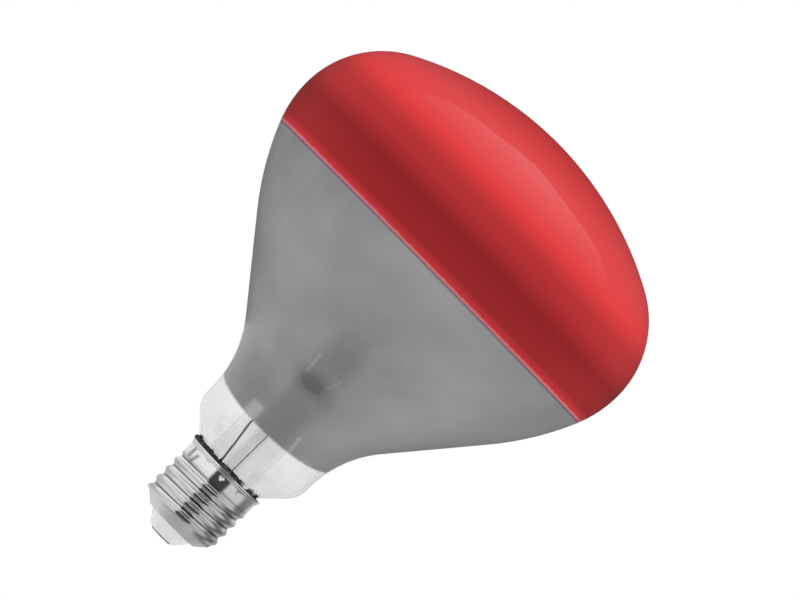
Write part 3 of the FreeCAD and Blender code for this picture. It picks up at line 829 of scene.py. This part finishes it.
bm = bmesh.new()
pen = Pen(bm, insulator_bore_r, insulator_top)
pen.line(insulator_top_r, insulator_top, steps=4)
pen.line(insulator_seat_r, insulator_seat, steps=3)
pen.line(insulator_lip_r, insulator_seat)
pen.line(insulator_lip_r, cap_bottom)
pen.line(insulator_foot_r, insulator_foot, steps=6)
pen.arc((4.35, 1.0), 45, steps=4)
pen.line(recess_r, insulator_end)
pen.line(recess_r, contact_thickness)
pen.line(insulator_bore_r, contact_thickness, steps=2)
pen.line(insulator_bore_r, insulator_top, steps=3)
spun(bm, steps=128)


def insulator_paint(graph):
    where = graph.place()[0]
    cloud = graph.noise(0.4, where, 3.0)
    speck = graph.noise(3.0, where, 2.0)
    tone = graph.mix(cloud, (0.88, 0.89, 0.88), (0.95, 0.95, 0.94))
    return graph.principled(Base_Color=tone, Roughness=0.3 + speck * 0.15, Normal=graph.bump(speck, 0.02))


piece(bm, "insulator", "insulator", ["cap_insulator"], material("insulator", insulator_paint))


def contact_paint(graph):
    wear = graph.noise(0.8, graph.place()[0], 4.0)
    tone = graph.mix(wear, (0.30, 0.29, 0.27), (0.5, 0.49, 0.46))
    return graph.principled(Base_Color=tone, Metallic=1.0, Roughness=wear * 0.3 + 0.25)


bm = bmesh.new()
pen = Pen(bm, contact_hole_r, 0.0)
pen.line(contact_r - contact_edge_round, 0.0, steps=3)
pen.arc((contact_r - contact_edge_round, contact_edge_round), -90, steps=5)
pen.line(contact_r, contact_thickness)
pen.line(contact_hole_r, contact_thickness, steps=2)
pen.line(contact_hole_r, 0.0)
spun(bm, steps=96)
piece(bm, "contact_plate", "contact_metal", ["centre_contact"], material("contact", contact_paint))


# %% [markdown]
# Capping cement is a black paste that sets hard. It fills the gap between the seal and the shell, and
# what was squeezed out stands above the rim as a ragged ring that creeps up the glass.

# %% Cement
cement_low = 19.5
cement_mouth = 26.6
cement_mouth_r = 12.6
glass_gap = 0.04
shell_inside_r = 11.75
skirt_inside_r = 12.45


def glass_radius(z):
    """Outside of the glass near the rim."""
    if z < seal_centre[1]:
        return seal_diameter / 2
    if z < seal_end[1]:
        return seal_centre[0] - math.sqrt(max(seal_fillet**2 - (z - seal_centre[1]) ** 2, 0.0))
    return seal_end[0] + (z - seal_end[1])


def swell(degrees, middle, reach, height):
    """A soft mound round the rim, at so many degrees from the front towards the right."""
    off = (degrees - middle + 180) % 360 - 180
    return height * eased(1 - abs(off) / reach)


def bead_fullness(point):
    """0 where the cement stays inside the rim, and 1 where it stands out as a full bead."""
    degrees = math.degrees(math.atan2(point.x, -point.y))
    mounds = swell(degrees, -60, 80, 1.4), swell(degrees, 3, 40, 1.2), swell(degrees, 46, 16, 0.8)
    behind = swell(degrees, 150, 50, 0.6), swell(degrees, -160, 40, 0.5)
    return min(max(*mounds, *behind) + 0.3 * noise.noise(point * 0.9), 1.0)


bm = bmesh.new()
pen = Pen(bm, glass_radius(cement_low) + glass_gap, cement_low)
pen.line(shell_inside_r, cement_low)
pen.line(shell_inside_r, skirt_step, steps=2)
pen.line(12.0, 22.0, steps=2)
pen.line(skirt_inside_r, 26.0, steps=4)
pen.line(cement_mouth_r, cement_mouth)
pen.line(13.45, 26.95, steps=3)
pen.line(13.58, 27.3, steps=2)
pen.line(13.45, 27.9, steps=3)
pen.line(13.0, 28.25, steps=3)
pen.line(12.2, 28.2, steps=3)
for z in (27.8, 27.2, cement_mouth, 26.0, 25.0, 24.0, 22.0, cement_low):
    pen.line(glass_radius(z) + glass_gap, z)
spun(bm, steps=288)
for v in bm.verts:
    if v.co.z > cement_mouth:
        full = max(bead_fullness(v.co), 0.0)
        lump = 0.25 * noise.noise(v.co * 1.7)
        v.co.z = cement_mouth + (v.co.z - cement_mouth) * full + lump * full
        r = v.co.xy.length
        if r > cement_mouth_r:
            r = cement_mouth_r + (r - cement_mouth_r) * full
        v.co.xy = v.co.xy.normalized() * max(r + lump * full * 0.5, glass_radius(v.co.z) + 0.03)
bmesh.ops.recalc_face_normals(bm, faces=bm.faces)


def cement_paint(graph):
    where, x, _, _ = graph.place()
    grain = graph.noise(1.5, where, 5.0)
    # Paler grain round x = 1.5 and beyond x = 7.
    paler_patches = (x - 1.5).abs().ramp(3.0, 5.0, 0.6, 0.0) + x.ramp(6.0, 8.0, 0.0, 0.6)
    tone = graph.mix(grain.ramp(0.4, 0.75) * (0.4 + paler_patches), (0.012, 0.012, 0.012), (0.2, 0.196, 0.19))
    return graph.principled(Base_Color=tone, Roughness=0.75, Normal=graph.bump(grain, 0.12))


piece(bm, "cement_ring", "cement", ["capping_cement"], material("cement", cement_paint))


# %% [markdown]
# The wires, the filament with its hooks and rod, and the two drops of solder keep their solids, because
# their shape is right, and get their finishes here.

# %% Wires, rod and solder
def metal(name, dark, light, rough):
    """A drawn wire's metal, a little uneven along its length."""
    def paint(graph):
        stain = graph.noise(0.6, graph.place()[0], 3.0)
        tone = graph.mix(stain, dark, light)
        return graph.principled(Base_Color=tone, Metallic=1.0, Roughness=stain * 0.2 + rough)
    return material(name, paint)


dark_lead = metal("dark_lead", (0.02, 0.02, 0.02), (0.09, 0.09, 0.09), 0.4)
nickel_wire = metal("nickel_wire", (0.45, 0.44, 0.42), (0.62, 0.61, 0.58), 0.25)
copper_wire = metal("copper_wire", (0.5, 0.24, 0.12), (0.66, 0.36, 0.22), 0.3)
tungsten = metal("tungsten", (0.2, 0.2, 0.21), (0.34, 0.34, 0.35), 0.35)
solder = metal("solder", (0.42, 0.42, 0.43), (0.6, 0.6, 0.61), 0.3)

dressing = {
    "centre_lead": dark_lead,
    "side_lead": dark_lead,
    "inner_lead_left": nickel_wire,
    "inner_lead_right": nickel_wire,
    "press_wire_left": copper_wire,
    "press_wire_right": copper_wire,
    "centre_solder": solder,
    "side_solder": solder,
    "glass_rod": stem_glass,
    "filament": tungsten,
}
dressing.update({name: tungsten for name in nodes if name.startswith("filament_hook")})
for name, finish in dressing.items():
    nodes[name].data.materials.clear()
    nodes[name].data.materials.append(finish)
print("dressed", len(dressing), "solids")
